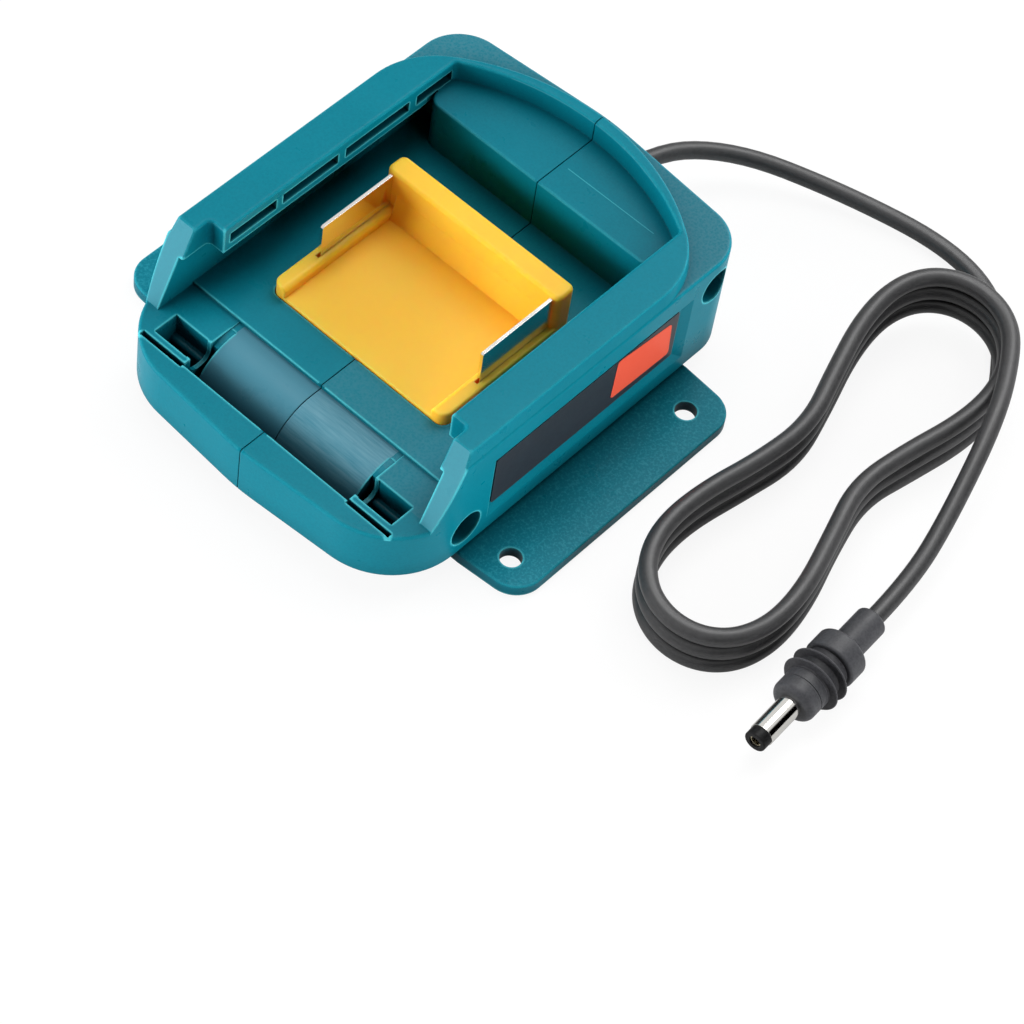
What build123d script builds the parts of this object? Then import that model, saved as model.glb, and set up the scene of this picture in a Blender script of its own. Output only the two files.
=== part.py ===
from build123d import *
import math
import os

# Screw-mount battery adapter: a moulded housing in two halves, a terminal block with two
# blades, and a hanked lead with a sealed barrel plug. Millimetres. The origin is at the
# bottom centre of the adapter, +Y is the way the battery slides in, +Z is up.

# Housing
body_half = 43.4          # half width of the base and the deck
front_y = -57.5           # front wall, a very flat V with its point at the middle
front_corner_y = -54.4    # where the V would meet the side
rear_y = 57.5             # rear wall, the same
rear_corner_y = 53.9
point_radius = 60.0       # eases the V's point
front_radius = 19.0
rear_radius = 10.8
edge_round = 0.8          # on the outer upper edges
bevel = 5.0               # bevel round the bottom
floor_z = 19.0            # floor that the battery slides over
sill_z = 18.2             # front sill and the pocket decks
sill_y = -33.0            # step between floor and sill
deck_z = 34.8             # rear deck outside the rim
rim_z = 38.5              # top of the rails and the rim
wall = 3.0
seam = 0.1                # half the parting gap of the outer walls

# Rails and rim
rail_half = 42.6
rail_draft = 8.0
channel_half = 38.6       # under the lips
entry_half = 37.4         # between the lead-in faces
lip_half = 33.0
lip_front_y = -30.1
lip_z = 31.0              # underside of the lips
lead_in_top_y = -34.5
lead_in_foot_y = -43.6
ledge_y = 33.2
ledge_z = 32.8
rim_radius = 57.0
rim_inner_radius = 62.0
rim_apex_y = 54.1
rim_inner_apex_y = 51.3
coring = [(-28.2, 14.0), (-12.2, 17.0), (7.2, 20.0), (29.6, 11.4)]   # start and length in Y
coring_z = (33.0, 36.0)

# Front sill
valley_half = 24.3
valley_front_y = -50.2
valley_z = 5.0
pocket_x = (25.3, 34.9)
pocket_y = (-48.1, -41.5)
pocket_z = 6.5
pocket_bar_z = 12.3       # top of the bar at the back of each pocket
pad_half = 22.8
pad_flat_y = -36.0
pad_front_y = -46.8
pad_z = 18.0
pad_radius = 12.3
slot_x = (24.3, 36.6)
slot_y = (-50.9, -49.6)

# Flanges
flange_half = 59.7
flange_t = 3.0
flange_front_y = -33.2
flange_rear_y = 38.2
flange_slope = 1.3        # the end edges lean back this much at the wall
hole_x = 51.5
hole_y = (-27.0, 30.0)
hole_d = 5.1

# Housing screws, driven from the right side
well_d = 8.8
well_bottom_x = 14.0
screw_axes = [(-33.5, 11.7), (44.2, 27.0)]    # Y and Z of each
boss_d = 11.6
screw_d = 3.2
head_d = 6.4
head_h = 2.2
screw_tip_x = -8.0

# Side labels
label_len = 58.2
label_h = 15.0
label_t = 0.4
label_mid_y = 3.7
label_mid_z = 19.9
recess_depth = 0.9

# Terminal block
block_half = 25.4
block_front_y = -22.4
block_rear_y = 17.8
block_z = 19.7
block_arm_z = 22.4
block_wall_z = 32.7
block_wall_t = 5.7
block_arm_w = 3.9
block_foot_z = 12.6
blade_x = 23.5
blade_y = (-9.8, 12.0)
blade_t = 0.8
blade_z = 31.7
tab_z = 8.5

# Lead, hank and plug
cord_d = 4.2
exit_z = 13.0
hank_pitch = 4.7          # height between layers
hank_turns = 3
hank_x = 85.0
hank_y = 38.0
hank_half = 57.5
plug_z = 7.0
plug_start = (116.6, 14.4)
plug_way = (0.055, -1.0)  # from the cord to the tip, seen from above


def box(x, y, z):
    """A box between two values on each axis."""
    size = [abs(pair[1] - pair[0]) for pair in (x, y, z)]
    middle = [(pair[0] + pair[1]) / 2 for pair in (x, y, z)]
    return Pos(*middle) * Box(*size)


def mirrored(shape):
    """The shape and its twin on the other side of the parting plane."""
    return [shape, mirror(shape, about=Plane.YZ)]


def side_prism(face_edges, x):
    """A profile drawn as Y and Z, pushed along X between two values."""
    sketch = Plane((x[0], 0, 0), x_dir=(0, 1, 0), z_dir=(1, 0, 0)) * make_face(face_edges)
    return extrude(sketch, amount=x[1] - x[0])


# Housing outlines, seen from above

def base_outline():
    shape = Polyline((0, front_y), (body_half, front_corner_y), (body_half, rear_corner_y), (0, rear_y),
                     (-body_half, rear_corner_y), (-body_half, front_corner_y), close=True)
    face = make_face(shape)
    for picked, radius in ((lambda v: abs(v.X) < 1, point_radius),
                           (lambda v: abs(v.X) > 40 and v.Y < 0, front_radius),
                           (lambda v: abs(v.X) > 40 and v.Y > 0 and v.Y > rear_corner_y - 1, rear_radius)):
        face = fillet([v for v in face.vertices() if picked(v)], radius)
    return face


def bowed_outline(half, radius, apex_y, front, corner):
    """Straight sides joined at the rear by a wide arc with rounded ends."""
    middle_y = apex_y - radius
    end_y = middle_y + math.sqrt(radius ** 2 - half ** 2)
    edges = [Line((-half, front), (half, front)), Line((half, front), (half, end_y)),
             ThreePointArc((half, end_y), (0, apex_y), (-half, end_y)),
             Line((-half, end_y), (-half, front))]
    face = make_face(edges)
    ends = [v for v in face.vertices() if abs(v.Y - end_y) < 0.01]
    return fillet(ends, corner)


# Housing body

def outer_body():
    base = extrude(base_outline(), amount=deck_z)
    base = chamfer(base.faces().sort_by(Axis.Z)[0].edges(), bevel)
    base = fillet(base.faces().sort_by(Axis.Z)[-1].edges(), edge_round)
    crown = bowed_outline(body_half - 0.2, rim_radius + 0.6, rim_apex_y + 0.6, -50, 21)
    crown = Pos(0, 0, deck_z - 1) * extrude(crown, amount=rim_z - deck_z + 1, taper=rail_draft)
    crown = fillet(crown.faces().sort_by(Axis.Z)[-1].edges(), 0.6)
    body = base + crown
    body = body - side_prism(Polyline((-80, sill_z), (lead_in_foot_y, sill_z), (lead_in_top_y, rim_z),
                                      (lead_in_top_y, 60), (-80, 60), close=True),
                             (-60, 60))
    sill = [f for f in body.faces().filter_by(Axis.Z) if abs(f.center().Z - sill_z) < 0.01][0]
    body = fillet([e for e in sill.edges() if e.center().Y < lead_in_foot_y - 0.1], edge_round)
    for flange in mirrored(right_flange()):
        body = body + flange
    return body


def right_flange():
    inner = body_half - bevel - 1
    shape = Polyline((inner, flange_front_y - flange_slope), (body_half, flange_front_y - flange_slope),
                     (flange_half, flange_front_y), (flange_half, flange_rear_y),
                     (body_half, flange_rear_y + flange_slope), (inner, flange_rear_y + flange_slope),
                     close=True)
    face = make_face(shape)
    face = fillet([v for v in face.vertices() if v.X > flange_half - 0.01], 7.0)
    flange = extrude(face, amount=flange_t)
    top = flange.faces().sort_by(Axis.Z)[-1]
    return fillet([e for e in top.edges() if e.center().X > body_half], 0.5)


def bay_cut():
    """The room that the battery slides through."""
    channel = box((-channel_half, channel_half), (sill_y, ledge_y), (floor_z, lip_z))
    entry = box((-channel_half, channel_half), (-80, sill_y), (sill_z, lip_z))
    mouth = box((-entry_half, entry_half), (-80, lip_front_y), (lip_z - 0.1, 60))
    mouth = fillet([e for e in mouth.edges().filter_by(Axis.Z)
                    if e.center().Y > lip_front_y - 0.1], 1.3)
    above = bowed_outline(lip_half, rim_inner_radius, rim_inner_apex_y, -40, 1.5)
    above = Pos(0, 0, ledge_z) * extrude(above, amount=30)
    gap = box((-lip_half, lip_half), (-40, ledge_y), (lip_z - 0.1, ledge_z + 0.1))
    return [channel, entry, mouth, above, gap]


def ledge_sides():
    """The side channels run on past the ledge's rounded front corners."""
    radius = 3.4
    corner = box((lip_half - radius, lip_half + 0.1), (ledge_y - 0.1, ledge_y + radius), (floor_z, ledge_z + 0.1))
    corner = corner - Pos(lip_half - radius, ledge_y + radius, 26) * Cylinder(radius, 20)
    channel = box((lip_half, channel_half), (ledge_y - 0.1, 40.0), (floor_z, lip_z))
    return mirrored(corner) + mirrored(channel)


def lip_coring():
    cuts = []
    for start, length in coring:
        pocket = box((lip_half - 0.5, lip_half + 2.6), (start, start + length), coring_z)
        cuts += mirrored(pocket)
    return cuts


def front_cuts():
    """The rounded pad with the valley in front of it, the latch pockets and the slots."""
    def pad_height(y):
        return pad_z - pad_radius + math.sqrt(pad_radius ** 2 - (y - pad_flat_y) ** 2)
    front, middle = (pad_front_y, pad_height(pad_front_y)), (-42.0, pad_height(-42.0))
    pad = [Line((sill_y, 20), (sill_y, pad_z)), Line((sill_y, pad_z), (pad_flat_y, pad_z)),
           ThreePointArc((pad_flat_y, pad_z), middle, front), Line(front, (pad_front_y, valley_z)),
           Line((pad_front_y, valley_z), (valley_front_y, valley_z)),
           Line((valley_front_y, valley_z), (valley_front_y, 20)), Line((valley_front_y, 20), (sill_y, 20))]
    cuts = [side_prism(pad, (-valley_half, valley_half))]
    groove = box((pad_half, valley_half), (valley_front_y, pad_flat_y + 0.4), (valley_z, 20))
    pocket = box(pocket_x, pocket_y, (pocket_z, 20))
    bar = box(pocket_x, (pocket_y[1] - 1.8, pocket_y[1]), (pocket_z, pocket_bar_z))
    bar = fillet([e for e in bar.edges().filter_by(Axis.X) if e.center().Z > 12 and e.center().Y < -42], 1.0)
    slot = box(slot_x, slot_y, (9.0, 20))
    saddle = box((valley_half - 0.1, pocket_x[0] + 0.1), (pocket_y[0] + 0.2, pocket_y[1] - 0.2), (13.0, 20))
    saddle = fillet([e for e in saddle.edges().filter_by(Axis.X) if e.center().Z < 14], 2.6)
    for cut in (groove, pocket - bar, slot, saddle):
        cuts += mirrored(cut)
    return cuts


def cavity():
    """Room inside for the terminal block's foot, the wires and the end of the lead."""
    low = box((-body_half + wall, body_half - wall), (-39.0, 46.0), (bevel, floor_z - wall))
    low = low + box((-body_half + wall + 3, body_half - wall - 3), (-39.0, 52.0), (2.6, bevel + 0.1))
    high = box((-28.0, 28.0), (ledge_y + wall, 52.4), (4.0, 29.6))
    high = high + box((-body_half + wall + 1, body_half - wall - 1), (43.0, 48.0), (4.0, 29.6))
    return low + high


def label_recess():
    """A shallow field with sloped borders for the label."""
    x = body_half - recess_depth
    near = (label_len / 2 + 0.8, label_h / 2 + 0.8)
    inner = Plane((x, label_mid_y, label_mid_z), x_dir=(0, 1, 0), z_dir=(1, 0, 0)) * \
        Rectangle(2 * near[0], 2 * near[1])
    outer = Plane((body_half + 0.3, label_mid_y + 1.6, label_mid_z - 1.0), x_dir=(0, 1, 0),
                  z_dir=(1, 0, 0)) * Rectangle(2 * near[0] + 4.6, 2 * near[1] + 4.4)
    return loft([inner, outer])


def well(y, z):
    """Deep round well of a housing screw, open to the right side."""
    return Pos((well_bottom_x + 70) / 2, y, z) * Rot(0, 90, 0) * Cylinder(well_d / 2, 70 - well_bottom_x)


def axis_cylinder(radius, x, y, z):
    """A cylinder along X between two values."""
    return Pos((x[0] + x[1]) / 2, y, z) * Rot(0, 90, 0) * Cylinder(radius, x[1] - x[0])


def block_opening():
    hole = box((-block_half - 0.2, block_half + 0.2), (block_front_y - 0.2, block_rear_y + 0.2),
               (floor_z - wall - 0.5, floor_z + 1))
    for rear, radius in ((False, 2.5), (True, 1.8)):
        hole = fillet([e for e in hole.edges().filter_by(Axis.Z) if (e.center().Y > 0) == rear], radius)
    return hole


def block_ribs():
    """Upright ribs that carry the terminal block's foot."""
    ribs = []
    for y in (-14.0, 9.0):
        ribs += mirrored(box((8.0, 17.0), (y - 1.0, y + 1.0), (1.5, block_foot_z - 0.1)))
    return ribs


def cord_port():
    """Round port for the grommet, through the rear wall."""
    return Pos(0, 52, exit_z) * Rot(90, 0, 0) * Cylinder(3.6, 20)


def eased_edges(body):
    """The bay's upper edges are rounded: rim, lips, lead-in faces and the front of the ledge."""
    def upper(picked):
        face = [f for f in body.faces().filter_by(Axis.Z) if abs(f.center().Z - rim_z) < 0.01][0]
        return [e for e in face.edges() if picked(e.center())]
    body = fillet(upper(lambda c: c.Y > lip_front_y - 4 and abs(c.X) < 38 and c.Y < 52), 0.8)
    body = fillet(upper(lambda c: c.Y < lead_in_top_y + 0.1), 0.5)
    ledge = [f for f in body.faces().filter_by(Axis.Z) if abs(f.center().Z - ledge_z) < 0.01][0]
    return fillet([e for e in ledge.edges() if e.center().Y < ledge_y + 3], 0.5)


def housing_body():
    body = outer_body()
    for cut in bay_cut() + ledge_sides():
        body = body - cut
    body = eased_edges(body)
    for cut in lip_coring() + front_cuts():
        body = body - cut
    body = body - cavity()
    for rib in block_ribs():
        body = body + rib
    body = body - block_opening() - cord_port()
    for recess in mirrored(label_recess()):
        body = body - recess
    for hole in hole_y:
        for side in (-hole_x, hole_x):
            body = body - Pos(side, hole, 0) * Cylinder(hole_d / 2, 20)
    return body


def boss(y, z, side):
    """Screw boss from the parting plane to the side wall."""
    end = body_half - 1.0
    return axis_cylinder(boss_d / 2, (0, end) if side > 0 else (-end, 0), y, z)


def housing_half(body, side):
    """One half: the walls stop a hair short of the parting plane, the bosses meet on it."""
    keep = box((seam, 80), (-80, 80), (-1, 60)) if side > 0 else box((-80, -seam), (-80, 80), (-1, 60))
    half = body & keep
    inside = Pos(0, 0, 1) * extrude(offset(base_outline(), amount=-0.8), amount=31)
    for y, z in screw_axes:
        half = half + (boss(y, z, side) & inside)
        if side > 0:
            half = half - well(y, z) - axis_cylinder(screw_d / 2 + 0.2, (-1, 30), y, z)
        else:
            half = half - axis_cylinder(screw_d / 2 - 0.3, (screw_tip_x - 1, 1), y, z)
    return half


def housing_screws():
    screws = []
    for y, z in screw_axes:
        shank = axis_cylinder(screw_d / 2 - 0.4, (screw_tip_x, well_bottom_x), y, z)
        head = axis_cylinder(head_d / 2, (well_bottom_x, well_bottom_x + head_h), y, z)
        head = fillet(head.edges().filter_by(GeomType.CIRCLE).sort_by(Axis.X)[-1], 0.9)
        screws.append(shank + head)
    return screws


# Terminal block and blades

def terminal_block():
    plate = box((-block_half, block_half), (block_front_y, block_rear_y), (floor_z - wall - 0.6, block_z))
    arm = box((block_half - block_arm_w, block_half), (block_front_y, block_rear_y), (block_z - 0.5, block_arm_z))
    arm = fillet(arm.edges().filter_by(Axis.Y).sort_by(Axis.Z)[-2:].sort_by(Axis.X)[0], 1.3)
    rear = box((-block_half, block_half), (block_rear_y - block_wall_t, block_rear_y),
               (block_z - 0.5, block_wall_z))
    block = plate + mirrored(arm) + rear
    for rear, radius in ((False, 2.4), (True, 1.7)):
        block = fillet([e for e in block.edges().filter_by(Axis.Z)
                        if abs(e.center().X) > block_half - 0.1 and (e.center().Y > 0) == rear], radius)
    block = fillet([e for e in block.edges() if e.center().Z > block_wall_z - 0.01], 0.9)
    block = fillet([e for e in block.edges() if abs(e.center().Z - block_arm_z) < 0.01
                    and (e.center().Y < 0 or abs(e.center().X) > block_half - 0.1) and e.center().Y < 12], 0.5)
    web = side_prism(Polyline((block_rear_y - block_wall_t - 1.6, block_z - 0.2),
                              (block_rear_y - block_wall_t + 0.3, block_z - 0.2),
                              (block_rear_y - block_wall_t + 0.3, block_z + 8), close=True),
                     (-block_half + block_arm_w, block_half - block_arm_w))
    foot = box((-block_half - 1.8, block_half + 1.8), (block_front_y - 0.1 + 3, block_rear_y - 3),
               (block_foot_z, floor_z - wall - 0.15))
    block = block + web + foot
    for slot in mirrored(box((blade_x - blade_t / 2 - 0.05, blade_x + blade_t / 2 + 0.05),
                             (blade_y[0] - 0.8, blade_y[1] + 0.05), (0, 60))):
        block = block - slot
    return block


def blade():
    """Flat blade with eased front corners and a narrow solder tab below."""
    edges = Polyline((blade_y[0], block_foot_z), (-3.0, block_foot_z), (-3.0, tab_z), (3.0, tab_z),
                     (3.0, block_foot_z), (blade_y[1], block_foot_z), (blade_y[1], blade_z),
                     (blade_y[0] + 0.4, blade_z), (blade_y[0], blade_z - 0.4), close=True)
    return side_prism(edges, (blade_x - blade_t / 2, blade_x + blade_t / 2))


# Wires, grommet and labels

def inner_wire(side):
    """Insulated wire from the end of the lead's jacket to a blade's tab."""
    path = FilletPolyline((side * 0.95, 46.0, exit_z), (side * 0.95, 36.0, exit_z), (side * 12.0, 22.0, 9.0),
                          (side * (blade_x - 2.1), 10.0, 7.2), (side * (blade_x - 2.1), 1.5, 10.2), radius=3.5)
    profile = Plane(path @ 0, z_dir=path % 0) * Circle(0.85)
    return sweep(profile, path=path)


def solder_sleeve(side):
    """Shrunk sleeve over the joint of wire and tab."""
    sleeve = box((blade_x - 1.2, blade_x - 0.45), (-2.6, 2.6), (8.9, 12.2))
    return sleeve if side > 0 else mirror(sleeve, about=Plane.YZ)


def cord_grommet():
    """Strain-relief bush held by the rear wall, with a flange on each side of it."""
    def disc(radius, y):
        return Pos(0, (y[0] + y[1]) / 2, exit_z) * Rot(90, 0, 0) * Cylinder(radius, y[1] - y[0])
    bush = disc(3.5, (50.0, 58.8))
    bush = fillet(bush.edges().filter_by(GeomType.CIRCLE).sort_by(Axis.Y)[-1], 0.6)
    bush = bush + disc(4.6, (50.0, 52.2))
    return bush - disc(cord_d / 2, (40, 70))


def label_plate(side):
    x = body_half - recess_depth
    plate = box((x, x + label_t), (label_mid_y - label_len / 2, label_mid_y + label_len / 2),
                (label_mid_z - label_h / 2, label_mid_z + label_h / 2))
    plate = fillet(plate.edges().filter_by(Axis.X), 0.6)
    return plate if side > 0 else mirror(plate, about=Plane.YZ)


# Lead: free stretches are straight runs joined by arcs, the hank climbs a layer per turn

def hank_point(turn):
    """Point of the hank's centre line, counted in turns from where the lead joins it."""
    angle = math.radians(62.0 - 360.0 * turn)
    s, c = math.sin(angle), math.cos(angle)
    x = hank_x - 4.0 * s + c * (5.0 + math.sqrt(11.0 + (25.0 * s) ** 2))
    y = hank_y + hank_half * s
    whole = math.floor(turn)
    part = (turn - whole - 0.60) / 0.24
    part = min(1.0, max(0.0, part))
    climb = part * part * (3 - 2 * part)
    return Vector(x, y, cord_d / 2 + hank_pitch * (whole + climb))


def hank_way(turn):
    step = 1e-4
    return (hank_point(turn + step) - hank_point(turn - step)).normalized()


hank_end_turn = hank_turns + 0.014


def biarc(start, way_in, end, way_out):
    """Two arcs that leave one point and reach the other along the given directions."""
    chord = end - start
    both = way_in + way_out
    a = 2 * (1 - way_in.dot(way_out))
    b = 2 * chord.dot(both)
    c = -chord.dot(chord)
    if abs(a) < 1e-9:
        d = -c / b
    else:
        d = (-b + math.sqrt(b * b - 4 * a * c)) / (2 * a)
    joint = (start + end + (way_in - way_out) * d) * 0.5
    arcs = []
    for p, way, q in ((start, way_in, joint), (joint, None, end)):
        if way is None:
            way = ((end - way_out * d) - joint).normalized()
        arcs.append(TangentArc(p, q, tangent=way))
    return arcs


def hank_path():
    steps = 12 * hank_turns
    turns = [hank_end_turn * i / steps for i in range(steps + 1)]
    edges = []
    for t0, t1 in zip(turns[:-1], turns[1:]):
        edges += biarc(hank_point(t0), hank_way(t0), hank_point(t1), hank_way(t1))
    return Wire(edges)


def tube(path):
    profile = Plane(path @ 0, z_dir=path % 0) * Circle(cord_d / 2)
    return sweep(profile, path=path)


def corner_radii(points):
    """Largest even curves that the runs leave room for."""
    radii = []
    for a, b, c in zip(points[:-2], points[1:-1], points[2:]):
        u, v = Vector(*b) - Vector(*a), Vector(*c) - Vector(*b)
        turn = math.acos(max(-1, min(1, u.normalized().dot(v.normalized()))))
        radii.append(0.45 * min(u.length, v.length) / math.tan(turn / 2))
    return radii


def lead_points():
    start, way = hank_point(0), hank_way(0)
    joint = start - way * 21.0
    return [(0, 48.5, exit_z), (0, 71.0, exit_z), (11.0, 91.0, 8.8), (36.0, 104.5, 3.6),
            (63.0, 111.2, cord_d / 2), tuple(joint), tuple(start)]


def tail_points():
    start, way = hank_point(hank_end_turn), hank_way(hank_end_turn)
    first = start + way * 18.0
    last = Vector(plug_start[0] - plug_way[0] * 14, plug_start[1] - plug_way[1] * 14, plug_z)
    return [tuple(start), tuple(first), (111.8, 46.0, 9.0), tuple(last),
            (plug_start[0], plug_start[1], plug_z)]


def free_tube(name, points):
    radii = corner_radii(points)
    print(name, "radii", [round(r, 1) for r in radii])
    runs = [(Vector(*b) - Vector(*a)).length for a, b in zip(points[:-1], points[1:])]
    print(name, "runs", [round(r, 1) for r in runs])
    path = FilletPolyline(*points, radius=radii)
    print(name, "length", round(path.length, 1))
    return tube(path)


def hank_gap():
    """Least distance between the hank's surface and itself."""
    count = 240
    points = [hank_point(hank_end_turn * i / (count * hank_turns)) for i in range(count * hank_turns + 1)]
    least = 1e9
    for i, p in enumerate(points):
        for q in points[i + count // 8:]:
            least = min(least, (p - q).length)
    return least - cord_d


# Plug on the end of the lead, drawn on Z and laid along its way

def ring(outer, inner, z):
    tube_ring = Pos(0, 0, (z[0] + z[1]) / 2) * Cylinder(outer, z[1] - z[0])
    if inner:
        tube_ring = tube_ring - Pos(0, 0, (z[0] + z[1]) / 2) * Cylinder(inner, z[1] - z[0] + 2)
    return tube_ring


def lay_plug(shape):
    """From the plug's own axis, tip up, to where it lies on the table."""
    place = Plane((plug_start[0], plug_start[1], plug_z), x_dir=(1, 0.055, 0),
                  z_dir=(plug_way[0], plug_way[1], 0))
    return place * shape


def plug_overmould():
    sleeve = ring(3.65, 0, (0, 10.6))
    sleeve = fillet(sleeve.edges().filter_by(GeomType.CIRCLE).sort_by(Axis.Z)[0], 0.7)
    collar = ring(6.1, 0, (10.4, 15.8))
    collar = fillet(collar.edges().filter_by(GeomType.CIRCLE), 0.7)
    core = ring(4.0, 0, (15.7, 24.4))
    return sleeve + collar + core - ring(1.5, 0, (16, 30))


def plug_seal_sleeve():
    body = ring(5.0, 4.05, (15.9, 22.8))
    for z in (17.6, 21.0):
        lip = ring(6.9, 4.05, (z, z + 1.8))
        body = body + fillet(lip.edges().filter_by(GeomType.CIRCLE).filter_by(
            lambda e: e.radius > 6), 0.8)
    return body


def plug_nose():
    nose = ring(5.2, 0, (22.9, 29.0))
    nose = fillet(nose.edges().filter_by(GeomType.CIRCLE).sort_by(Axis.Z)[-1], 1.6)
    nose = nose - (ring(5.6, 5.05, (25.0, 25.3)))
    return nose - ring(4.05, 0, (22.8, 24.5)) - ring(2.4, 0, (24.4, 30))


def plug_barrel():
    """Bare to the front of the nose, narrower inside it."""
    bare = ring(2.75, 2.3, (29.5, 39.0)) + ring(2.75, 1.85, (29.05, 29.6))
    return bare + ring(2.35, 1.85, (24.5, 29.15))


def plug_tip_insulator():
    """Fills the barrel round the centre contact and stands out at the tip."""
    tip = ring(1.8, 1.45, (24.6, 29.75)) + ring(2.25, 1.45, (29.65, 39.2)) + ring(2.55, 1.45, (39.05, 41.4))
    return fillet(tip.edges().filter_by(GeomType.CIRCLE).sort_by(Axis.Z)[-1:], 0.3)


def plug_centre_contact():
    return ring(1.4, 1.05, (26.0, 41.0)) + ring(1.4, 0, (20.0, 27.0))


def write(name, shape):
    if isinstance(shape, (list, tuple)):
        shape = Compound(children=list(shape))
    export_step(shape, "parts/%s.step" % name)
    print(name, "volume", round(shape.volume, 1))


def main():
    os.makedirs("parts", exist_ok=True)
    body = housing_body()
    write("right_housing_half", housing_half(body, 1))
    write("left_housing_half", housing_half(body, -1))
    write("housing_screws", housing_screws())
    write("terminal_block", terminal_block())
    write("positive_terminal_blade", blade())
    write("negative_terminal_blade", mirror(blade(), about=Plane.YZ))
    write("positive_wire", inner_wire(1))
    write("negative_wire", inner_wire(-1))
    write("positive_solder_sleeve", solder_sleeve(1))
    write("negative_solder_sleeve", solder_sleeve(-1))
    write("cord_grommet", cord_grommet())
    write("side_label", label_plate(1))
    write("blank_side_plate", label_plate(-1))
    write("cord_lead", free_tube("lead", lead_points()))
    print("hank gap", round(hank_gap(), 2))
    hank = hank_path()
    print("hank length", round(hank.length, 1))
    write("cord_hank", tube(hank))
    write("cord_tail", free_tube("tail", tail_points()))
    write("plug_overmould", lay_plug(plug_overmould()))
    write("plug_seal_sleeve", lay_plug(plug_seal_sleeve()))
    write("plug_nose", lay_plug(plug_nose()))
    write("plug_barrel", lay_plug(plug_barrel()))
    write("plug_tip_insulator", lay_plug(plug_tip_insulator()))
    write("plug_centre_contact", lay_plug(plug_centre_contact()))


main()
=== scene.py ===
import bpy
import math
from mathutils import Matrix, Vector


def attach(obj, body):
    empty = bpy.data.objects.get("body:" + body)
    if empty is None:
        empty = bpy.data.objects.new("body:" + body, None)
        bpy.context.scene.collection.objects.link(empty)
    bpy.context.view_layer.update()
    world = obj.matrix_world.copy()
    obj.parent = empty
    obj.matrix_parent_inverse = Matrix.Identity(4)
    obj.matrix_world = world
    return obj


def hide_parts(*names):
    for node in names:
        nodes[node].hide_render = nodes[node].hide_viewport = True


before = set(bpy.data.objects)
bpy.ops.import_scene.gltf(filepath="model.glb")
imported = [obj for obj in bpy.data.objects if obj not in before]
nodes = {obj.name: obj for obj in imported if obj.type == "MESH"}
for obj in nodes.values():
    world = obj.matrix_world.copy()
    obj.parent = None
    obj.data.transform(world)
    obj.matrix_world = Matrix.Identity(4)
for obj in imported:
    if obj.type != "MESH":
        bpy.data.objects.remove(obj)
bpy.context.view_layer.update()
mm = 0.001


def wayOut(azimuth, height):
    # the way out from the object, in degrees round from its front and up
    turn, rise = math.radians(azimuth), math.radians(height)
    return Vector((math.sin(turn) * math.cos(rise), -math.cos(turn) * math.cos(rise), math.sin(rise)))


def addPrimitive(name, operator, **values):
    # a new primitive at its size and place, with everything else deselected first
    bpy.ops.object.select_all(action="DESELECT")
    operator(**values)
    piece = bpy.context.active_object
    piece.name = piece.data.name = name
    return piece


def startEdit():
    bpy.ops.object.mode_set(mode="EDIT")
    bpy.ops.mesh.select_all(action="SELECT")


def endEdit():
    # the faces end up pointing outwards
    bpy.ops.mesh.select_all(action="SELECT")
    bpy.ops.mesh.normals_make_consistent(inside=False)
    bpy.ops.object.mode_set(mode="OBJECT")


# Camera, at the photograph's angle

cameraView = {
    "place": (0.3118, -0.4109, 0.6521),
    "azimuth": 34.319,
    "elevation": 53.769,
    "roll": 10.069,
    "lens": 132.52,
    "sensor": 36,
    "clip": (0.05, 20),
}


def addCamera():
    turn, roll = math.radians(cameraView["azimuth"]), math.radians(cameraView["roll"])
    back = wayOut(cameraView["azimuth"], cameraView["elevation"])
    level = Vector((math.cos(turn), math.sin(turn), 0))
    upright = back.cross(level)
    right = level * math.cos(roll) + upright * math.sin(roll)
    up = upright * math.cos(roll) - level * math.sin(roll)
    data = bpy.data.cameras.new("photoCamera")
    data.lens = cameraView["lens"]
    data.sensor_width = cameraView["sensor"]
    data.clip_start, data.clip_end = cameraView["clip"]
    camera = bpy.data.objects.new("photoCamera", data)
    bpy.context.scene.collection.objects.link(camera)
    axes = Matrix((right, up, back)).transposed().to_4x4()
    camera.matrix_world = Matrix.Translation(cameraView["place"]) @ axes
    bpy.context.scene.camera = camera
    print("camera set")


# Cord: out of the rear wall, three turns of the hank, and on to the plug

cordLie = {
    "thick": 4.2,
    "exitHeight": 13.0,
    "exitRun": (48.5, 71),           # Y of the straight run through the rear wall
    "lead": ((11, 91, 8.8), (36, 104.5, 3.6), (63, 111.2, 2.1)),
    "turns": 3,
    "overlap": 0.014,                # the last turn ends this much past the first one's start
    "pointsPerTurn": 24,
    "layer": 4.7,                    # height of a turn above the one below
    "middle": (85.0, 38.0),
    "halfLength": 57.5,
    "startAngle": 62.0,
    "lean": 4.0,
    "width": (5.0, 11.0, 25.0),      # least half-width, and how far its ends swell over the waist
    "climb": (0.60, 0.24),           # where in a turn it steps up, and for how long
    "straights": (21, 18, 14),       # runs before the hank, after it, and before the plug
    "tail": (111.8, 46, 9),
    "plugStart": (116.6, 14.4, 7.0),
    "plugWay": (0.055, -1.0),
    "curveSteps": 8,
    "roundSteps": 6,
}
lastTurn = cordLie["turns"] + cordLie["overlap"]


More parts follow.
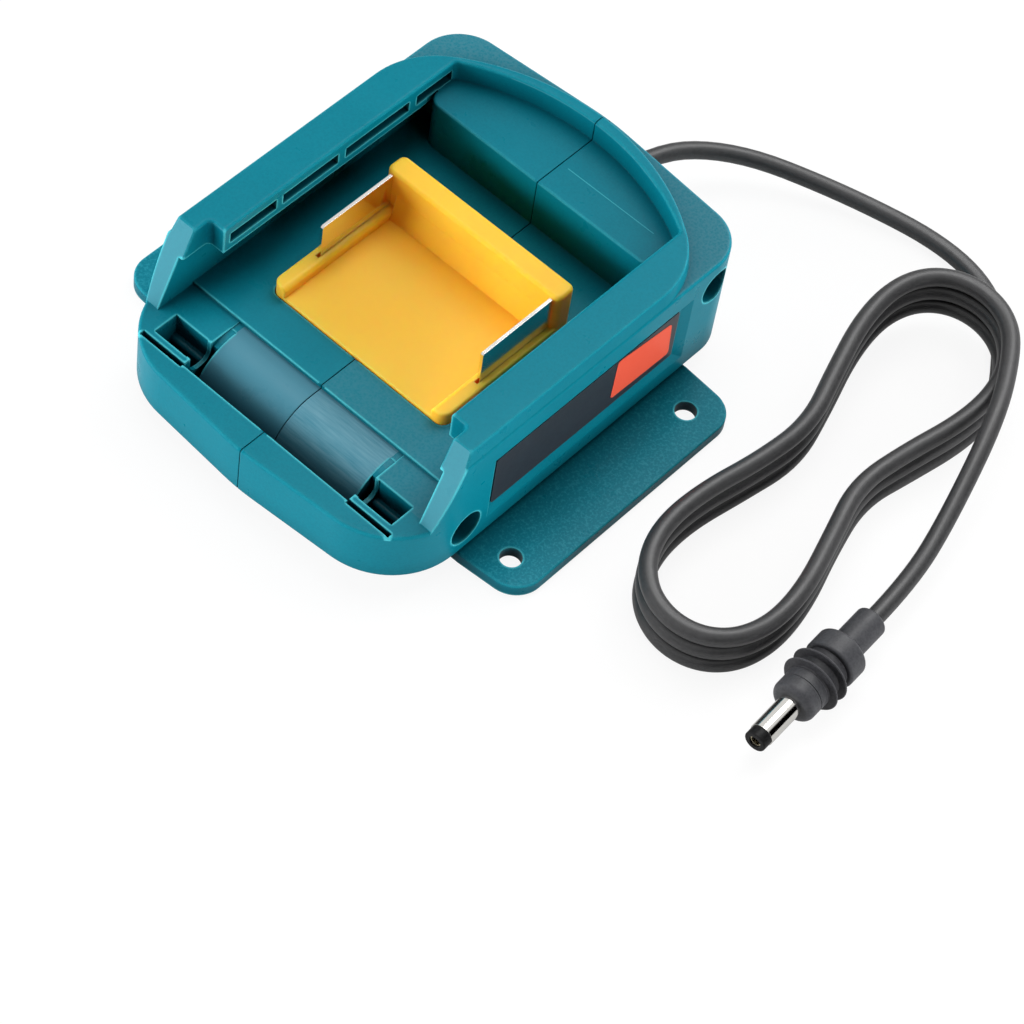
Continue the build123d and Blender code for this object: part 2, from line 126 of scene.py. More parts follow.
def hankPoint(turn):
    angle = math.radians(cordLie["startAngle"] - 360.0 * turn)
    s, c = math.sin(angle), math.cos(angle)
    least, waist, swell = cordLie["width"]
    x = cordLie["middle"][0] - cordLie["lean"] * s + c * (least + math.sqrt(waist + (swell * s) ** 2))
    y = cordLie["middle"][1] + cordLie["halfLength"] * s
    whole = math.floor(turn)
    climbFrom, climbFor = cordLie["climb"]
    part = min(1.0, max(0.0, (turn - whole - climbFrom) / climbFor))
    climb = part * part * (3 - 2 * part)  # each turn steps up onto the one below on its left run
    return Vector((x, y, cordLie["thick"] / 2 + cordLie["layer"] * (whole + climb)))


def hankWay(turn, nudge=1e-4):
    return (hankPoint(turn + nudge) - hankPoint(turn - nudge)).normalized()


def cordRoute():
    start, end = hankPoint(0), hankPoint(lastTurn)
    plug, way = Vector(cordLie["plugStart"]), Vector((*cordLie["plugWay"], 0))
    before, after, beforePlug = cordLie["straights"]
    route = [(0, y, cordLie["exitHeight"]) for y in cordLie["exitRun"]] + list(cordLie["lead"])
    route.append(start - hankWay(0) * before)
    steps = cordLie["pointsPerTurn"] * cordLie["turns"]
    route += [hankPoint(lastTurn * i / steps) for i in range(steps + 1)]
    route += [end + hankWay(lastTurn) * after, cordLie["tail"], plug - way * beforePlug, plug]
    return [Vector(point) * mm for point in route]


def layCord():
    route = cordRoute()
    curve = bpy.data.curves.new("cord", "CURVE")
    curve.dimensions = "3D"
    spline = curve.splines.new("NURBS")
    spline.points.add(len(route) - 1)
    for point, place in zip(spline.points, route):
        point.co = (*place, 1)
        point.radius = mm
    spline.order_u = 3
    spline.use_endpoint_u = True
    spline.resolution_u = cordLie["curveSteps"]
    curve.bevel_depth = cordLie["thick"] / 2  # times each point's radius
    curve.bevel_resolution = cordLie["roundSteps"]
    curve.use_fill_caps = True
    cord = bpy.data.objects.new("cord", curve)
    bpy.context.scene.collection.objects.link(cord)
    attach(cord, "root")
    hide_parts("cord_lead", "cord_hank", "cord_tail")
    print("cord laid")
    return cord


# Seal sleeve of the plug, with two thin fins

sealShape = {
    "profile": (  # radius and distance along the plug
        (4.05, 15.9), (5.0, 15.9), (5.0, 18.0), (5.15, 18.2), (6.7, 18.35), (6.9, 18.6), (6.7, 18.85), (5.15, 19.0),
        (5.0, 19.2), (5.0, 21.25), (5.15, 21.45), (6.7, 21.6), (6.9, 21.85), (6.7, 22.1), (5.15, 22.25),
        (5.0, 22.45), (5.0, 22.8), (4.05, 22.8),
    ),
    "steps": 96,
    "mergeWithin": 0.001,
    "smoothAngle": 40.0,
}


def addSeal():
    start, way = Vector(cordLie["plugStart"]) * mm, Vector((*cordLie["plugWay"], 0)).normalized()
    seal = addPrimitive("sealSleeve", bpy.ops.mesh.primitive_circle_add,
                        vertices=len(sealShape["profile"]), radius=mm, location=(0, 0, 0))
    for vertex, (radius, along) in zip(seal.data.vertices, sealShape["profile"]):
        vertex.co = start + way * along * mm + Vector((0, 0, radius * mm))
    startEdit()
    bpy.ops.mesh.spin(steps=sealShape["steps"], angle=math.tau, center=start, axis=way)
    bpy.ops.mesh.select_all(action="SELECT")
    bpy.ops.mesh.remove_doubles(threshold=sealShape["mergeWithin"] * mm)
    endEdit()
    bpy.ops.object.shade_smooth_by_angle(angle=math.radians(sealShape["smoothAngle"]))
    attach(seal, "root")
    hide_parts("plug_seal_sleeve")
    print("seal sleeve spun")
    return seal


# Node helpers

def put(tree, kind, inputs=None, **settings):
    node = tree.nodes.new(kind)
    for key, value in settings.items():
        setattr(node, key, value)
    for key, value in (inputs or {}).items():
        if isinstance(value, bpy.types.NodeSocket):
            tree.links.new(value, node.inputs[key])
        else:
            node.inputs[key].default_value = value
    return node


def calc(tree, operation, first, second=0.0, clamp=False):
    return put(tree, "ShaderNodeMath", {0: first, 1: second}, operation=operation, use_clamp=clamp).outputs[0]


def overlap(tree, *masks):
    meeting = masks[0]
    for mask in masks[1:]:
        meeting = calc(tree, "MULTIPLY", meeting, mask)
    return meeting


def within(tree, value, span, unit=mm):
    # 1 where the value is no further than half the span from its middle
    middle, half = span
    return put(tree, "ShaderNodeMath", {0: value, 1: middle * unit, 2: half * unit}, operation="COMPARE").outputs[0]


def spread(tree, value, low, high, newLow=0.0, newHigh=1.0):
    return put(tree, "ShaderNodeMapRange", {"Value": value, "From Min": low, "From Max": high,
                                            "To Min": newLow, "To Max": newHigh}).outputs[0]


def blendColors(tree, factor, first, second):
    return put(tree, "ShaderNodeMix", {0: factor, 6: first, 7: second}, data_type="RGBA").outputs[2]


def tint(tree, body, share, color):
    return blendColors(tree, share, body, (*color, 1))


def newGroup(name, inputs, outputs):
    # inputs give each value's default, outputs each one's kind
    group = bpy.data.node_groups.new(name, "ShaderNodeTree")
    for key, value in inputs.items():
        kind = "NodeSocketFloat" if isinstance(value, float) else "NodeSocketVector"
        group.interface.new_socket(name=key, in_out="INPUT", socket_type=kind).default_value = value
    for key, kind in outputs.items():
        group.interface.new_socket(name=key, in_out="OUTPUT", socket_type="NodeSocket" + kind)
    return group, put(group, "NodeGroupInput").outputs


def closeGroup(group, results):
    out = put(group, "NodeGroupOutput")
    for key, socket in results.items():
        group.links.new(socket, out.inputs[key])
    return group


def useGroup(tree, group, values=None):
    return put(tree, "ShaderNodeGroup", values, node_tree=group).outputs


def objectPlace(tree):
    return put(tree, "ShaderNodeTexCoord").outputs["Object"]


# Effects that several materials share

mouldSkin = {
    "fine": {"Detail": 3.0, "Roughness": 0.6}, "fineShare": 0.65,
    "pitScale": 0.62, "pitShare": 0.35,
    "tone": {"Scale": 38.0, "Detail": 2.0},
    "patches": {"Scale": 130.0, "Detail": 4.0, "Roughness": 0.65},
}


def makeGrainGroup():
    # spark-eroded mould skin: fine pits over a low, slow waviness
    group, given = newGroup("mouldGrain", {"Grain Size": 1900.0},
                            {"Height": "Float", "Tone": "Float", "Patches": "Float"})
    place, size = objectPlace(group), given["Grain Size"]
    fine = put(group, "ShaderNodeTexNoise", {"Vector": place, "Scale": size, **mouldSkin["fine"]})
    pitSize = calc(group, "MULTIPLY", size, mouldSkin["pitScale"])
    pits = put(group, "ShaderNodeTexVoronoi", {"Vector": place, "Scale": pitSize})
    height = calc(group, "ADD", calc(group, "MULTIPLY", fine.outputs[0], mouldSkin["fineShare"]),
                  calc(group, "MULTIPLY", pits.outputs["Distance"], mouldSkin["pitShare"]))
    slow = put(group, "ShaderNodeTexNoise", {"Vector": place, **mouldSkin["tone"]})
    patches = put(group, "ShaderNodeTexNoise", {"Vector": place, **mouldSkin["patches"]})
    return closeGroup(group, {"Height": height, "Tone": slow.outputs[0], "Patches": patches.outputs[0]})


easedEdge = {
    "bevelSamples": 4,
    "feelerSamples": 8,
    "feelerReach": 2.0,       # how deep the edge mask feels into the solid, in radii
    "feltBand": (0.84, 0.60),
}


def makeEdgeGroup():
    # the eased normal, a mask of the outer edges for a painted highlight, and one of the inner corners and hollows
    # for painted shade
    group, given = newGroup("easedEdges", {"Radius": 0.0004, "Corner Reach": 0.006},
                            {"Normal": "Vector", "Edge": "Float", "Corner": "Float"})
    eased = put(group, "ShaderNodeBevel", {"Radius": given["Radius"]}, samples=easedEdge["bevelSamples"])
    reach = calc(group, "MULTIPLY", given["Radius"], easedEdge["feelerReach"])
    solid = put(group, "ShaderNodeAmbientOcclusion", {"Distance": reach}, inside=True, only_local=True,
                samples=easedEdge["feelerSamples"])
    room = put(group, "ShaderNodeAmbientOcclusion", {"Distance": given["Corner Reach"]},
               samples=easedEdge["feelerSamples"])
    return closeGroup(group, {
        "Normal": eased.outputs[0],
        "Edge": spread(group, solid.outputs["AO"], *easedEdge["feltBand"]),
        "Corner": calc(group, "SUBTRACT", 1.0, room.outputs["AO"]),
    })


def makeLineGroup():
    # fine drawn or cut lines, stretched by their scale along each axis
    group, given = newGroup("drawnLines", {"Stretch": (1.0, 1.0, 1.0)}, {"Lines": "Float"})
    stretched = put(group, "ShaderNodeMapping", {"Vector": objectPlace(group), "Scale": given["Stretch"]})
    lines = put(group, "ShaderNodeTexNoise", {"Vector": stretched.outputs[0], "Scale": 1.0, "Detail": 2.0})
    return closeGroup(group, {"Lines": lines.outputs[0]})


zoneLimits = {
    # middle and half of each span over the housing
    "deckZ": (34.8, 0.5),
    "bayFloorY": (-30.8, 11.8), "bayFloorZ": (18.6, 0.8), "bayFloorShare": 0.6,
    "flangeZ": (3.0, 0.3),
    "padX": (0.0, 22.8), "padY": (-40.2, 7.2), "padTop": 18.1,
    "flowX": (14.5, 12.5), "flowY": (41.1, 0.09), "flowZ": (32.8, 0.2),
    "slantNormalY": (-0.91, 0.03), "slantFoot": 18.4,
    "flatNormalZ": 0.9, "upwardNormalZ": 0.3,
    "seamX": (0.0, 0.9),
    "thinFront": (-46.0, 17.3), "rearFoot": (47.0, 4.8),   # Y up to or from where, and Z up to where
}


def makeZoneGroup():
    # masks over the housing: spark-eroded tops, lead-in faces for a painted highlight, flanges, the pad with its
    # cutter lines on the right half, the ledge's flow line, and where an outer edge takes a painted highlight
    group, _ = newGroup("housingZones", {}, dict.fromkeys(
        ("Spark", "Slanted", "Flange", "Pad", "Lines", "Flow", "HighlightZone"), "Float"))
    zone = zoneLimits
    x, y, z = put(group, "ShaderNodeSeparateXYZ", {0: objectPlace(group)}).outputs
    facing = put(group, "ShaderNodeNewGeometry").outputs["True Normal"]
    _, normalY, normalZ = put(group, "ShaderNodeSeparateXYZ", {0: facing}).outputs
    flat = calc(group, "GREATER_THAN", normalZ, zone["flatNormalZ"])
    upward = calc(group, "GREATER_THAN", normalZ, zone["upwardNormalZ"])
    right = calc(group, "GREATER_THAN", x, 0.0)
    bayFloor = overlap(group, within(group, z, zone["bayFloorZ"]), right, within(group, y, zone["bayFloorY"]))
    tops = calc(group, "ADD", within(group, z, zone["deckZ"]),
                calc(group, "MULTIPLY", bayFloor, zone["bayFloorShare"]), clamp=True)
    # lead-in faces, painted lighter as if lit from the front
    slanted = overlap(group, within(group, normalY, zone["slantNormalY"], unit=1.0), upward,
                      calc(group, "GREATER_THAN", z, zone["slantFoot"] * mm))
    pad = overlap(group, within(group, y, zone["padY"]), calc(group, "LESS_THAN", z, zone["padTop"] * mm),
                  within(group, x, zone["padX"]), upward)
    flow = overlap(group, within(group, y, zone["flowY"]), within(group, x, zone["flowX"]),
                   within(group, z, zone["flowZ"]), flat)
    # no painted edge highlight along the parting seam, nor where the wall is thin: before the slots and at the rear
    # foot
    (frontY, frontZ), (footY, footZ) = zone["thinFront"], zone["rearFoot"]
    thin = overlap(group, calc(group, "LESS_THAN", y, frontY * mm), calc(group, "LESS_THAN", z, frontZ * mm))
    foot = overlap(group, calc(group, "GREATER_THAN", y, footY * mm), calc(group, "LESS_THAN", z, footZ * mm))
    plain = calc(group, "MAXIMUM", within(group, x, zone["seamX"]), calc(group, "MAXIMUM", thin, foot))
    return closeGroup(group, {
        "Spark": overlap(group, tops, flat), "Slanted": slanted,
        "Flange": overlap(group, within(group, z, zone["flangeZ"]), flat),
        "Pad": pad, "Lines": overlap(group, pad, right), "Flow": flow,
        "HighlightZone": calc(group, "SUBTRACT", 1.0, plain),
    })


grainGroup = makeGrainGroup()
edgeGroup = makeEdgeGroup()
lineGroup = makeLineGroup()
zoneGroup = makeZoneGroup()


# Finishes

# in every look, edge and edgeShare paint a highlight along the outer edges, and corner with cornerShare paints shade
# into inner corners and hollows; in the housing the edge colour also colours the flange points and the flow line
housingLook = {
    "color": (0.001, 0.166, 0.228), "drift": (0.002, 0.180, 0.246),
    "edge": (0.080, 0.560, 0.640), "edgeShare": 0.90, "edgeRadius": 0.0004,
    "corner": (0.0, 0.016, 0.028), "cornerShare": 1.0, "cornerReach": 0.010,
    "fleck": (0.004, 0.380, 0.460), "speckle": 0.08, "grainSize": 2300.0,
    "roughness": (0.26, 0.36), "shine": 0.10, "bump": 0.22, "depth": 0.00006,
    "spark": (0.055, 0.205, 0.262), "sparkShare": (0.20, 0.75), "flangeShare": 0.15,
    # slant and slantShare: a painted highlight on the lead-in faces
    "slant": (0.30, 0.56, 0.64), "slantShare": 0.17,
    "pad": (0.076, 0.238, 0.316), "padShare": 0.88, "padLines": (150.0, 2300.0, 60.0),
    "line": (0.170, 0.360, 0.440), "lineShare": 0.50, "flowShare": 0.6,
}
fillLook = dict(housingLook, edgeShare=0.0)
# the block's corner colour is painted shade, orange where its hollows and shaded sides fall dark
blockLook = {
    "color": (1.0, 0.550, 0.046), "drift": (1.0, 0.575, 0.054),
    "edge": (1.0, 0.72, 0.18), "edgeShare": 0.45, "edgeRadius": 0.0004,
    "corner": (1.0, 0.310, 0.006), "cornerShare": 0.70, "cornerReach": 0.010,
    "speckle": 0.0, "grainSize": 1500.0,
    "roughness": (0.28, 0.34), "shine": 0.20, "bump": 0.05, "depth": 0.00003,
    "scatter": 0.50, "scatterWay": (1.0, 0.30, 0.05), "scatterDepth": 0.008,
}
# the cord's corner colour is painted shade between its turns and where it lies on the floor
cordLook = {
    "color": (0.025, 0.025, 0.026), "drift": (0.030, 0.030, 0.031),
    "edge": (0.06, 0.06, 0.062), "edgeShare": 0.0, "edgeRadius": 0.0002,
    "corner": (0.002, 0.002, 0.002), "cornerShare": 1.0, "cornerFrom": 0.15,
    "speckle": 0.25, "grainSize": 1600.0,
    "roughness": (0.36, 0.44), "shine": 0.60, "bump": 0.20, "depth": 0.00004,
}
plugLook = {
    "color": (0.036, 0.037, 0.041), "drift": (0.045, 0.046, 0.050),
    "edge": (0.12, 0.12, 0.13), "edgeShare": 0.4, "edgeRadius": 0.0002,
    "corner": (0.008, 0.008, 0.009), "cornerShare": 0.5,
    "speckle": 0.2, "grainSize": 2400.0,
    "roughness": (0.36, 0.48), "shine": 0.35, "bump": 0.30, "depth": 0.00005,
}
sealLook = dict(plugLook, color=(0.026, 0.026, 0.029), drift=(0.032, 0.032, 0.036), roughness=(0.5, 0.62))
tipLook = dict(plugLook, color=(0.004, 0.004, 0.004), drift=(0.005, 0.005, 0.005), roughness=(0.30, 0.38),
               edgeShare=0.15, shine=0.12, speckle=0.05)
labelLook = {
    "color": (0.020, 0.020, 0.026), "drift": (0.024, 0.024, 0.031),
    "edge": (0.10, 0.10, 0.11), "edgeShare": 0.6, "edgeRadius": 0.00012,
    "corner": (0.010, 0.010, 0.012), "cornerShare": 0.2,
    "speckle": 0.08, "grainSize": 3000.0,
    "roughness": (0.28, 0.38), "shine": 0.3, "bump": 0.05, "depth": 0.00002,
}
patchLook = dict(labelLook, color=(0.665, 0.032, 0.008), drift=(0.705, 0.038, 0.010), edge=(0.80, 0.14, 0.08),
                 shine=0.05)
redWireLook = dict(cordLook, color=(0.45, 0.012, 0.010), drift=(0.50, 0.016, 0.012), edge=(0.6, 0.1, 0.08))
blackWireLook = dict(cordLook, color=(0.012, 0.012, 0.012), drift=(0.016, 0.016, 0.016))
bladeLook = {
    "color": (0.86, 0.84, 0.80), "drift": (0.82, 0.80, 0.76), "edgeRadius": 0.00015, "grainSize": 900.0,
    "lines": (300.0, 90.0, 2600.0), "roughness": (0.08, 0.15), "dulled": 0.05, "bump": 0.015, "depth": 0.00002,
}
barrelLook = dict(bladeLook, color=(0.84, 0.82, 0.78), drift=(0.74, 0.73, 0.69), roughness=(0.05, 0.10),
                  lines=(1400.0, 40.0, 1400.0), bump=0.10)
contactLook = dict(bladeLook, color=(0.80, 0.72, 0.52), drift=(0.76, 0.68, 0.48), roughness=(0.15, 0.25))
screwLook = dict(bladeLook, color=(0.50, 0.50, 0.51), drift=(0.44, 0.44, 0.45), roughness=(0.25, 0.38))
noiseBands = {
    # the range of each noise that a finish spreads out
    "tone": (0.35, 0.65), "patches": (0.3, 0.7), "lines": (0.3, 0.7),
    "speckle": (0.35, 0.62), "spark": (0.36, 0.60), "points": (0.50, 0.66),
}


def newMaterial(name, **values):
    material = bpy.data.materials.new(name)
    material.use_nodes = True
    shader = material.node_tree.nodes["Principled BSDF"]
    for key, value in values.items():
        shader.inputs[key].default_value = value
    return material, material.node_tree, shader


def skinColor(tree, look, grain):
    tone = spread(tree, grain["Tone"], *noiseBands["tone"])
    return blendColors(tree, tone, (*look["color"], 1), (*look["drift"], 1))


def giveBump(tree, shader, look, height, normal):
    bump = put(tree, "ShaderNodeBump", {"Strength": look["bump"], "Distance": look["depth"],
                                        "Height": height, "Normal": normal})
    tree.links.new(bump.outputs[0], shader.inputs["Normal"])


def zonedColor(tree, look, grain, zones, body):
    # greyer, speckled skin where the mould is eroded, a painted highlight on the lead-in faces, fine lines along the
    # pad, one bright flow line
    lines = useGroup(tree, lineGroup, {"Stretch": look["padLines"]})["Lines"]
    speckle = spread(tree, grain["Height"], *noiseBands["spark"], *look["sparkShare"])
    streaks = spread(tree, lines, *noiseBands["lines"], 0.0, look["lineShare"])
    points = spread(tree, grain["Height"], *noiseBands["points"], 0.0, look["flangeShare"])
    for zone, share, color in (
            ("Spark", speckle, "spark"), ("Flange", points, "edge"), ("Slanted", look["slantShare"], "slant"),
            ("Pad", look["padShare"], "pad"), ("Lines", streaks, "line"), ("Flow", look["flowShare"], "edge")):
        body = tint(tree, body, calc(tree, "MULTIPLY", zones[zone], share), look[color])
    return body


def mouldedFinish(name, look):
    # moulded plastic or rubber: tone drifts slowly, a painted highlight lightens the outer edges, painted shade
    # darkens the inner corners, the skin carries grain
    material, tree, shader = newMaterial(name)
    grain = useGroup(tree, grainGroup, {"Grain Size": look["grainSize"]})
    edges = useGroup(tree, edgeGroup, {"Radius": look["edgeRadius"], "Corner Reach": look.get("cornerReach", 0.006)})
    speck = spread(tree, grain["Height"], *noiseBands["speckle"], 0.0, look["speckle"])
    body = tint(tree, skinColor(tree, look, grain), speck, look.get("fleck", look["edge"]))
    # painted highlight along the outer edges
    edgeHighlight = calc(tree, "MULTIPLY", edges["Edge"], look["edgeShare"])
    if "spark" in look:
        zones = useGroup(tree, zoneGroup)
        body = zonedColor(tree, look, grain, zones, body)
        edgeHighlight = calc(tree, "MULTIPLY", edgeHighlight, zones["HighlightZone"])
    # painted shade in inner corners and hollows
    cornerShade = spread(tree, edges["Corner"], look.get("cornerFrom", 0.0), 1.0, 0.0, look["cornerShare"])
    body = tint(tree, tint(tree, body, edgeHighlight, look["edge"]), cornerShade, look["corner"])
    tree.links.new(body, shader.inputs["Base Color"])
    rough = spread(tree, grain["Patches"], *noiseBands["patches"], *look["roughness"])
    tree.links.new(rough, shader.inputs["Roughness"])
    giveBump(tree, shader, look, grain["Height"], edges["Normal"])
    shader.inputs["Specular IOR Level"].default_value = look["shine"]
    if "scatter" in look:
        shader.inputs["Subsurface Weight"].default_value = look["scatter"]
        shader.inputs["Subsurface Radius"].default_value = look["scatterWay"]
        shader.inputs["Subsurface Scale"].default_value = look["scatterDepth"]
    return material


def platedFinish(name, look):
    # bright plate with faint drawing lines and dulled patches
    material, tree, shader = newMaterial(name, Metallic=1.0)
    grain = useGroup(tree, grainGroup, {"Grain Size": look["grainSize"]})
    edges = useGroup(tree, edgeGroup, {"Radius": look["edgeRadius"]})
    lines = useGroup(tree, lineGroup, {"Stretch": look["lines"]})["Lines"]
    tree.links.new(skinColor(tree, look, grain), shader.inputs["Base Color"])
    rough = calc(tree, "ADD", spread(tree, lines, *noiseBands["lines"], *look["roughness"]),
                 spread(tree, grain["Patches"], *noiseBands["patches"], 0.0, look["dulled"]))
    tree.links.new(rough, shader.inputs["Roughness"])
    giveBump(tree, shader, look, lines, edges["Normal"])
    return material


def finishNodes():
    teal = mouldedFinish("tealMoulding", housingLook)
    mouldedFinish("tealFill", fillLook)
    seal = mouldedFinish("sealRubber", sealLook)
    plugShell = mouldedFinish("plugMoulding", plugLook)
    film = mouldedFinish("labelFilm", labelLook)
    blade = platedFinish("bladePlate", bladeLook)
    redWire = mouldedFinish("redInsulation", redWireLook)
    blackWire = mouldedFinish("blackInsulation", blackWireLook)
    finishes = {
        "right_housing_half": teal, "left_housing_half": teal,
        "housing_screws": platedFinish("screwPlate", screwLook),
        "terminal_block": mouldedFinish("amberMoulding", blockLook),
        "positive_terminal_blade": blade, "negative_terminal_blade": blade,
        "positive_wire": redWire, "negative_wire": blackWire,
        "positive_solder_sleeve": redWire, "negative_solder_sleeve": blackWire,
        "cord_grommet": seal, "side_label": film, "blank_side_plate": film,
        "plug_overmould": plugShell, "plug_seal_sleeve": seal, "plug_nose": plugShell,
        "plug_barrel": platedFinish("barrelPlate", barrelLook),
        "plug_tip_insulator": mouldedFinish("tipMoulding", tipLook),
        "plug_centre_contact": platedFinish("contactPlate", contactLook),
    }
    for name, material in finishes.items():
        nodes[name].data.materials.clear()
        nodes[name].data.materials.append(material)
    print("finishes given to", len(finishes), "nodes")


# Orange-red field on the right label, a film of its own

patchShape = {
    "face": 42.9,                # X of the label's face
    "thick": 0.05,
    "corners": ((12.2, 14.9), (31.5, 14.2), (30.6, 25.2), (12.7, 27.4)),  # Y and Z
    "round": 1.0,
    "roundSteps": 4,
}


def addLabelPatch():
    patch = addPrimitive("labelColorField", bpy.ops.mesh.primitive_plane_add, size=1, location=(0, 0, 0))
    for corner, (y, z) in zip((0, 1, 3, 2), patchShape["corners"]):  # a plane counts its corners in rows
        patch.data.vertices[corner].co = (patchShape["face"] * mm, y * mm, z * mm)
    startEdit()
    bpy.ops.mesh.bevel(offset=patchShape["round"] * mm, segments=patchShape["roundSteps"], affect="VERTICES")
    bpy.ops.mesh.select_all(action="SELECT")
    bpy.ops.mesh.extrude_region_move(TRANSFORM_OT_translate={"value": (patchShape["thick"] * mm, 0, 0)})
    endEdit()
    patch.data.materials.append(mouldedFinish("orangeFilm", patchLook))
    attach(patch, "root")
    print("label field added")


# Ends of the rounded pad, where the CAD leaves two narrow slots open

padEnd = {
    "inner": 22.75, "wide": 1.6,
    "rear": -35.6, "front": -41.0, "foot": 12.0,
    "roundMiddle": (-36.0, 5.7), "roundRadius": 12.3, "roundSteps": 4,
}


def addPadEnds():
    (middleY, middleZ), radius, steps = padEnd["roundMiddle"], padEnd["roundRadius"], padEnd["roundSteps"]
    front, rear, foot = padEnd["front"], padEnd["rear"], padEnd["foot"]
    profile = [(front, foot), (rear, foot), (rear, middleZ + radius)]
    for i in range(steps + 1):
        y = middleY + (front - middleY) * i / steps
        profile.append((y, middleZ + math.sqrt(radius ** 2 - (y - middleY) ** 2)))
    for name, side in (("padEndRight", 1), ("padEndLeft", -1)):
        end = addPrimitive(name, bpy.ops.mesh.primitive_circle_add, vertices=len(profile), radius=mm,
                           fill_type="NGON", location=(0, 0, 0))
        for vertex, (y, z) in zip(end.data.vertices, profile):
            vertex.co = (side * padEnd["inner"] * mm, y * mm, z * mm)
        startEdit()
        bpy.ops.mesh.extrude_region_move(TRANSFORM_OT_translate={"value": (side * padEnd["wide"] * mm, 0, 0)})
        endEdit()
        end.data.materials.append(bpy.data.materials["tealFill"])
        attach(end, "root")
    print("pad ends filled")


# Rear corners of the bevel, closed where the room inside comes out through the wall

rearCorner = {
    "middle": (32.6, 43.96),                       # of the corner's round
    "foot": (7.97, 2.2), "head": (10.37, 4.6),     # radius and height of the bevel, a hair inside it
    "sides": 160,
    "kept": ((36.2, 50.8, 3.4), (3.6, 3.6, 4.0)),  # middle and size of the part that is kept
}


def addCornerFills():
    (footRadius, footHeight), (headRadius, headHeight) = rearCorner["foot"], rearCorner["head"]
    middleX, middleY = rearCorner["middle"]
    (keptX, keptY, keptZ), keptSize = rearCorner["kept"]
    for name, side in (("rearCornerRight", 1), ("rearCornerLeft", -1)):
        kept = addPrimitive("keptRoom", bpy.ops.mesh.primitive_cube_add, size=mm, scale=keptSize,
                            location=(side * keptX * mm, keptY * mm, keptZ * mm))
        fill = addPrimitive(name, bpy.ops.mesh.primitive_cone_add, vertices=rearCorner["sides"],
                            radius1=footRadius * mm, radius2=headRadius * mm, depth=(headHeight - footHeight) * mm,
                            location=(side * middleX * mm, middleY * mm, (headHeight + footHeight) / 2 * mm))
        trim = fill.modifiers.new("trim", "BOOLEAN")
        trim.operation, trim.object, trim.solver = "INTERSECT", kept, "EXACT"
        bpy.ops.object.modifier_apply(modifier=trim.name)
        bpy.ops.object.transform_apply(location=True, rotation=True, scale=True)
        bpy.data.objects.remove(kept)
        fill.data.materials.clear()
        fill.data.materials.append(bpy.data.materials["tealFill"])
        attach(fill, "root")
        print(name, "closed with", len(fill.data.polygons), "faces")


# Studio

studio = {
    "floorSize": 6.0,
    "floorDrop": 0.05,            # keeps the floor clear of the flat underside
    "floorTones": (0.88, 0.90),
    "floorGrain": 400.0,
    "floorRoughness": 0.7,
    "floorGlow": (0.88, 1.02),    # share and strength as the camera sees it
    "floorGloss": (0.70, 0.50),   # and as metal mirrors it
    "horizonGloss": 0.05,
    "skyGloss": 0.80,
    "horizonBand": (0.12, 0.34),  # the mirrored surroundings are dark below this and bright above
    "flagSide": (0.42, 0.54),     # a dark flag stands on the right, up to this height
    "flagTop": (0.60, 0.72),
    "lampSize": 0.7,
    "lampDistance": 1.3,
    "lamps": (
        # name, azimuth from the front, height in degrees, watts
        ("frontLowSoftbox", 330, 8, 18.5),
        ("leftLowSoftbox", 300, 8, 12.5),
        ("rightLowSoftbox", 90, 8, 15.0),
        ("rearRightLowSoftbox", 147, 8, 11.5),
        ("rearLowSoftbox", 180, 8, 12.5),
        ("rearHighSoftbox", 184, 50, 6.3),
        ("overheadSoftbox", 240, 75, 7.2),
    ),
    "mirroredFrom": 20,           # lamps below this height only fill, with no streaks on the cord
    "aim": (0.03, 0.01, 0.02),
}


def seenRays(tree):
    # what the camera sees, and what metal or glass shows
    rays = put(tree, "ShaderNodeLightPath").outputs
    return rays["Is Camera Ray"], calc(tree, "MAXIMUM", rays["Is Glossy Ray"], rays["Is Transmission Ray"])


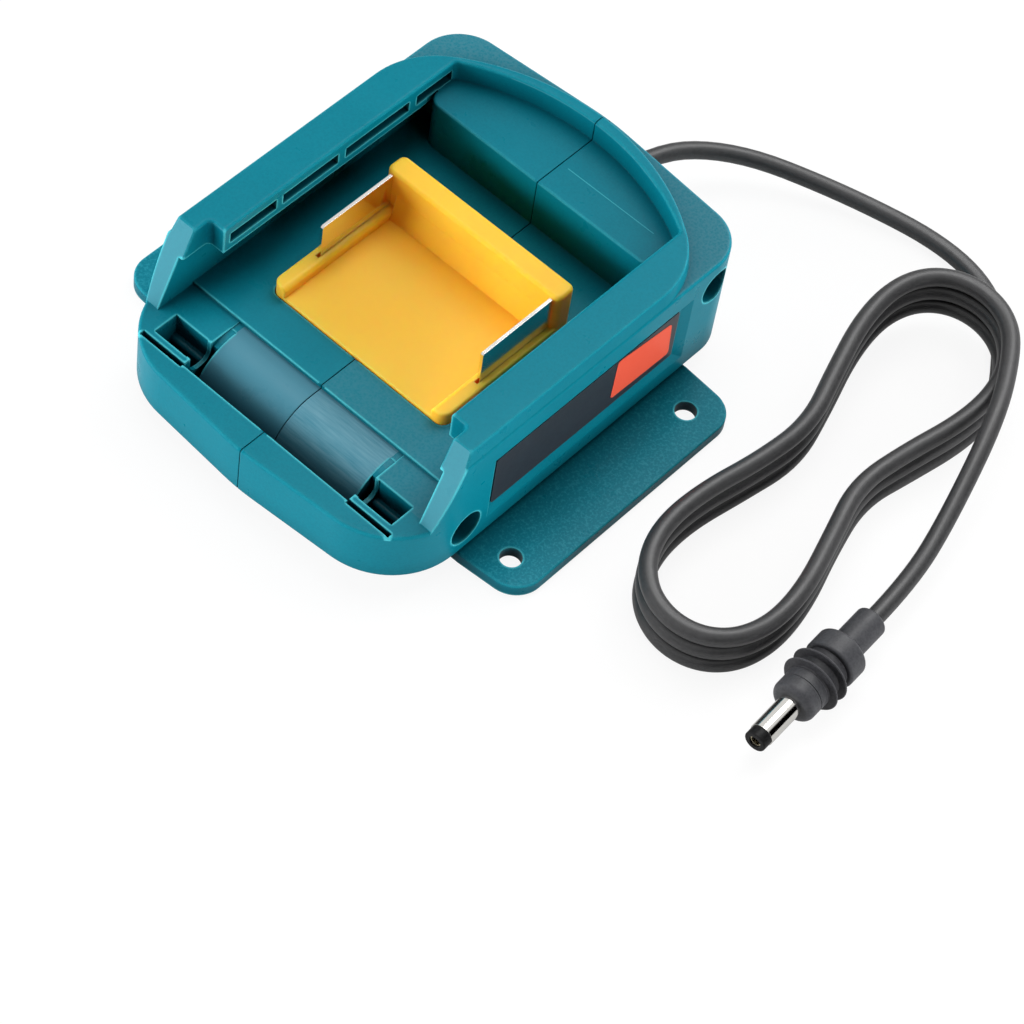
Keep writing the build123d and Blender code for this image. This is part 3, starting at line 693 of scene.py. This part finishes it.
def layFloor():
    floor = addPrimitive("studioFloor", bpy.ops.mesh.primitive_plane_add, size=studio["floorSize"],
                         location=(0, 0, -studio["floorDrop"] * mm))
    material, tree, shader = newMaterial("whiteFloor", Roughness=studio["floorRoughness"])
    grain = useGroup(tree, grainGroup, {"Grain Size": studio["floorGrain"]})
    tone = spread(tree, grain["Patches"], *noiseBands["patches"])
    dark, pale = ((grey, grey, grey, 1) for grey in studio["floorTones"])
    tree.links.new(blendColors(tree, tone, dark, pale), shader.inputs["Base Color"])
    seen, mirrored = seenRays(tree)
    share, strength = (calc(tree, "ADD", calc(tree, "MULTIPLY", seen, glow), calc(tree, "MULTIPLY", mirrored, gloss))
                       for glow, gloss in zip(studio["floorGlow"], studio["floorGloss"]))
    glow = put(tree, "ShaderNodeEmission", {"Color": (1, 1, 1, 1), "Strength": strength})
    mix = put(tree, "ShaderNodeMixShader", {0: share, 1: shader.outputs[0], 2: glow.outputs[0]})
    tree.links.new(mix.outputs[0], tree.nodes["Material Output"].inputs["Surface"])
    floor.data.materials.append(material)


def hangLamps():
    for name, azimuth, height, watts in studio["lamps"]:
        data = bpy.data.lights.new(name, "AREA")
        data.shape, data.size, data.energy = "SQUARE", studio["lampSize"], watts
        lamp = bpy.data.objects.new(name, data)
        bpy.context.scene.collection.objects.link(lamp)
        away = wayOut(azimuth, height)
        lamp.location = Vector(studio["aim"]) + away * studio["lampDistance"]
        lamp.rotation_euler = away.to_track_quat("Z", "Y").to_euler()
        lamp.visible_glossy = height > studio["mirroredFrom"]


def surround():
    # white to the camera; metal mirrors a dark horizon, a bright sky and the flag; no light of its own
    world = bpy.data.worlds.new("studioWorld")
    bpy.context.scene.world = world
    world.use_nodes = True
    tree = world.node_tree
    seen, mirrored = seenRays(tree)
    way = put(tree, "ShaderNodeSeparateXYZ", {0: put(tree, "ShaderNodeTexCoord").outputs["Generated"]}).outputs
    sky = spread(tree, way["Z"], *studio["horizonBand"], studio["horizonGloss"], studio["skyGloss"])
    flag = overlap(tree, spread(tree, way["X"], *studio["flagSide"]),
                   spread(tree, way["Z"], *studio["flagTop"], 1.0, 0.0))
    gloss = overlap(tree, sky, calc(tree, "SUBTRACT", 1.0, flag), mirrored)
    background = tree.nodes["Background"].inputs
    background["Color"].default_value = (1, 1, 1, 1)
    tree.links.new(calc(tree, "MAXIMUM", gloss, seen), background["Strength"])
    bpy.context.scene.view_settings.view_transform = "Standard"


addCamera()
seal = addSeal()
cord = layCord()
finishNodes()
seal.data.materials.append(bpy.data.materials["sealRubber"])
cord.data.materials.append(mouldedFinish("cordJacket", cordLook))
addLabelPatch()
addPadEnds()
addCornerFills()
layFloor()
hangLamps()
surround()
print("studio lit")
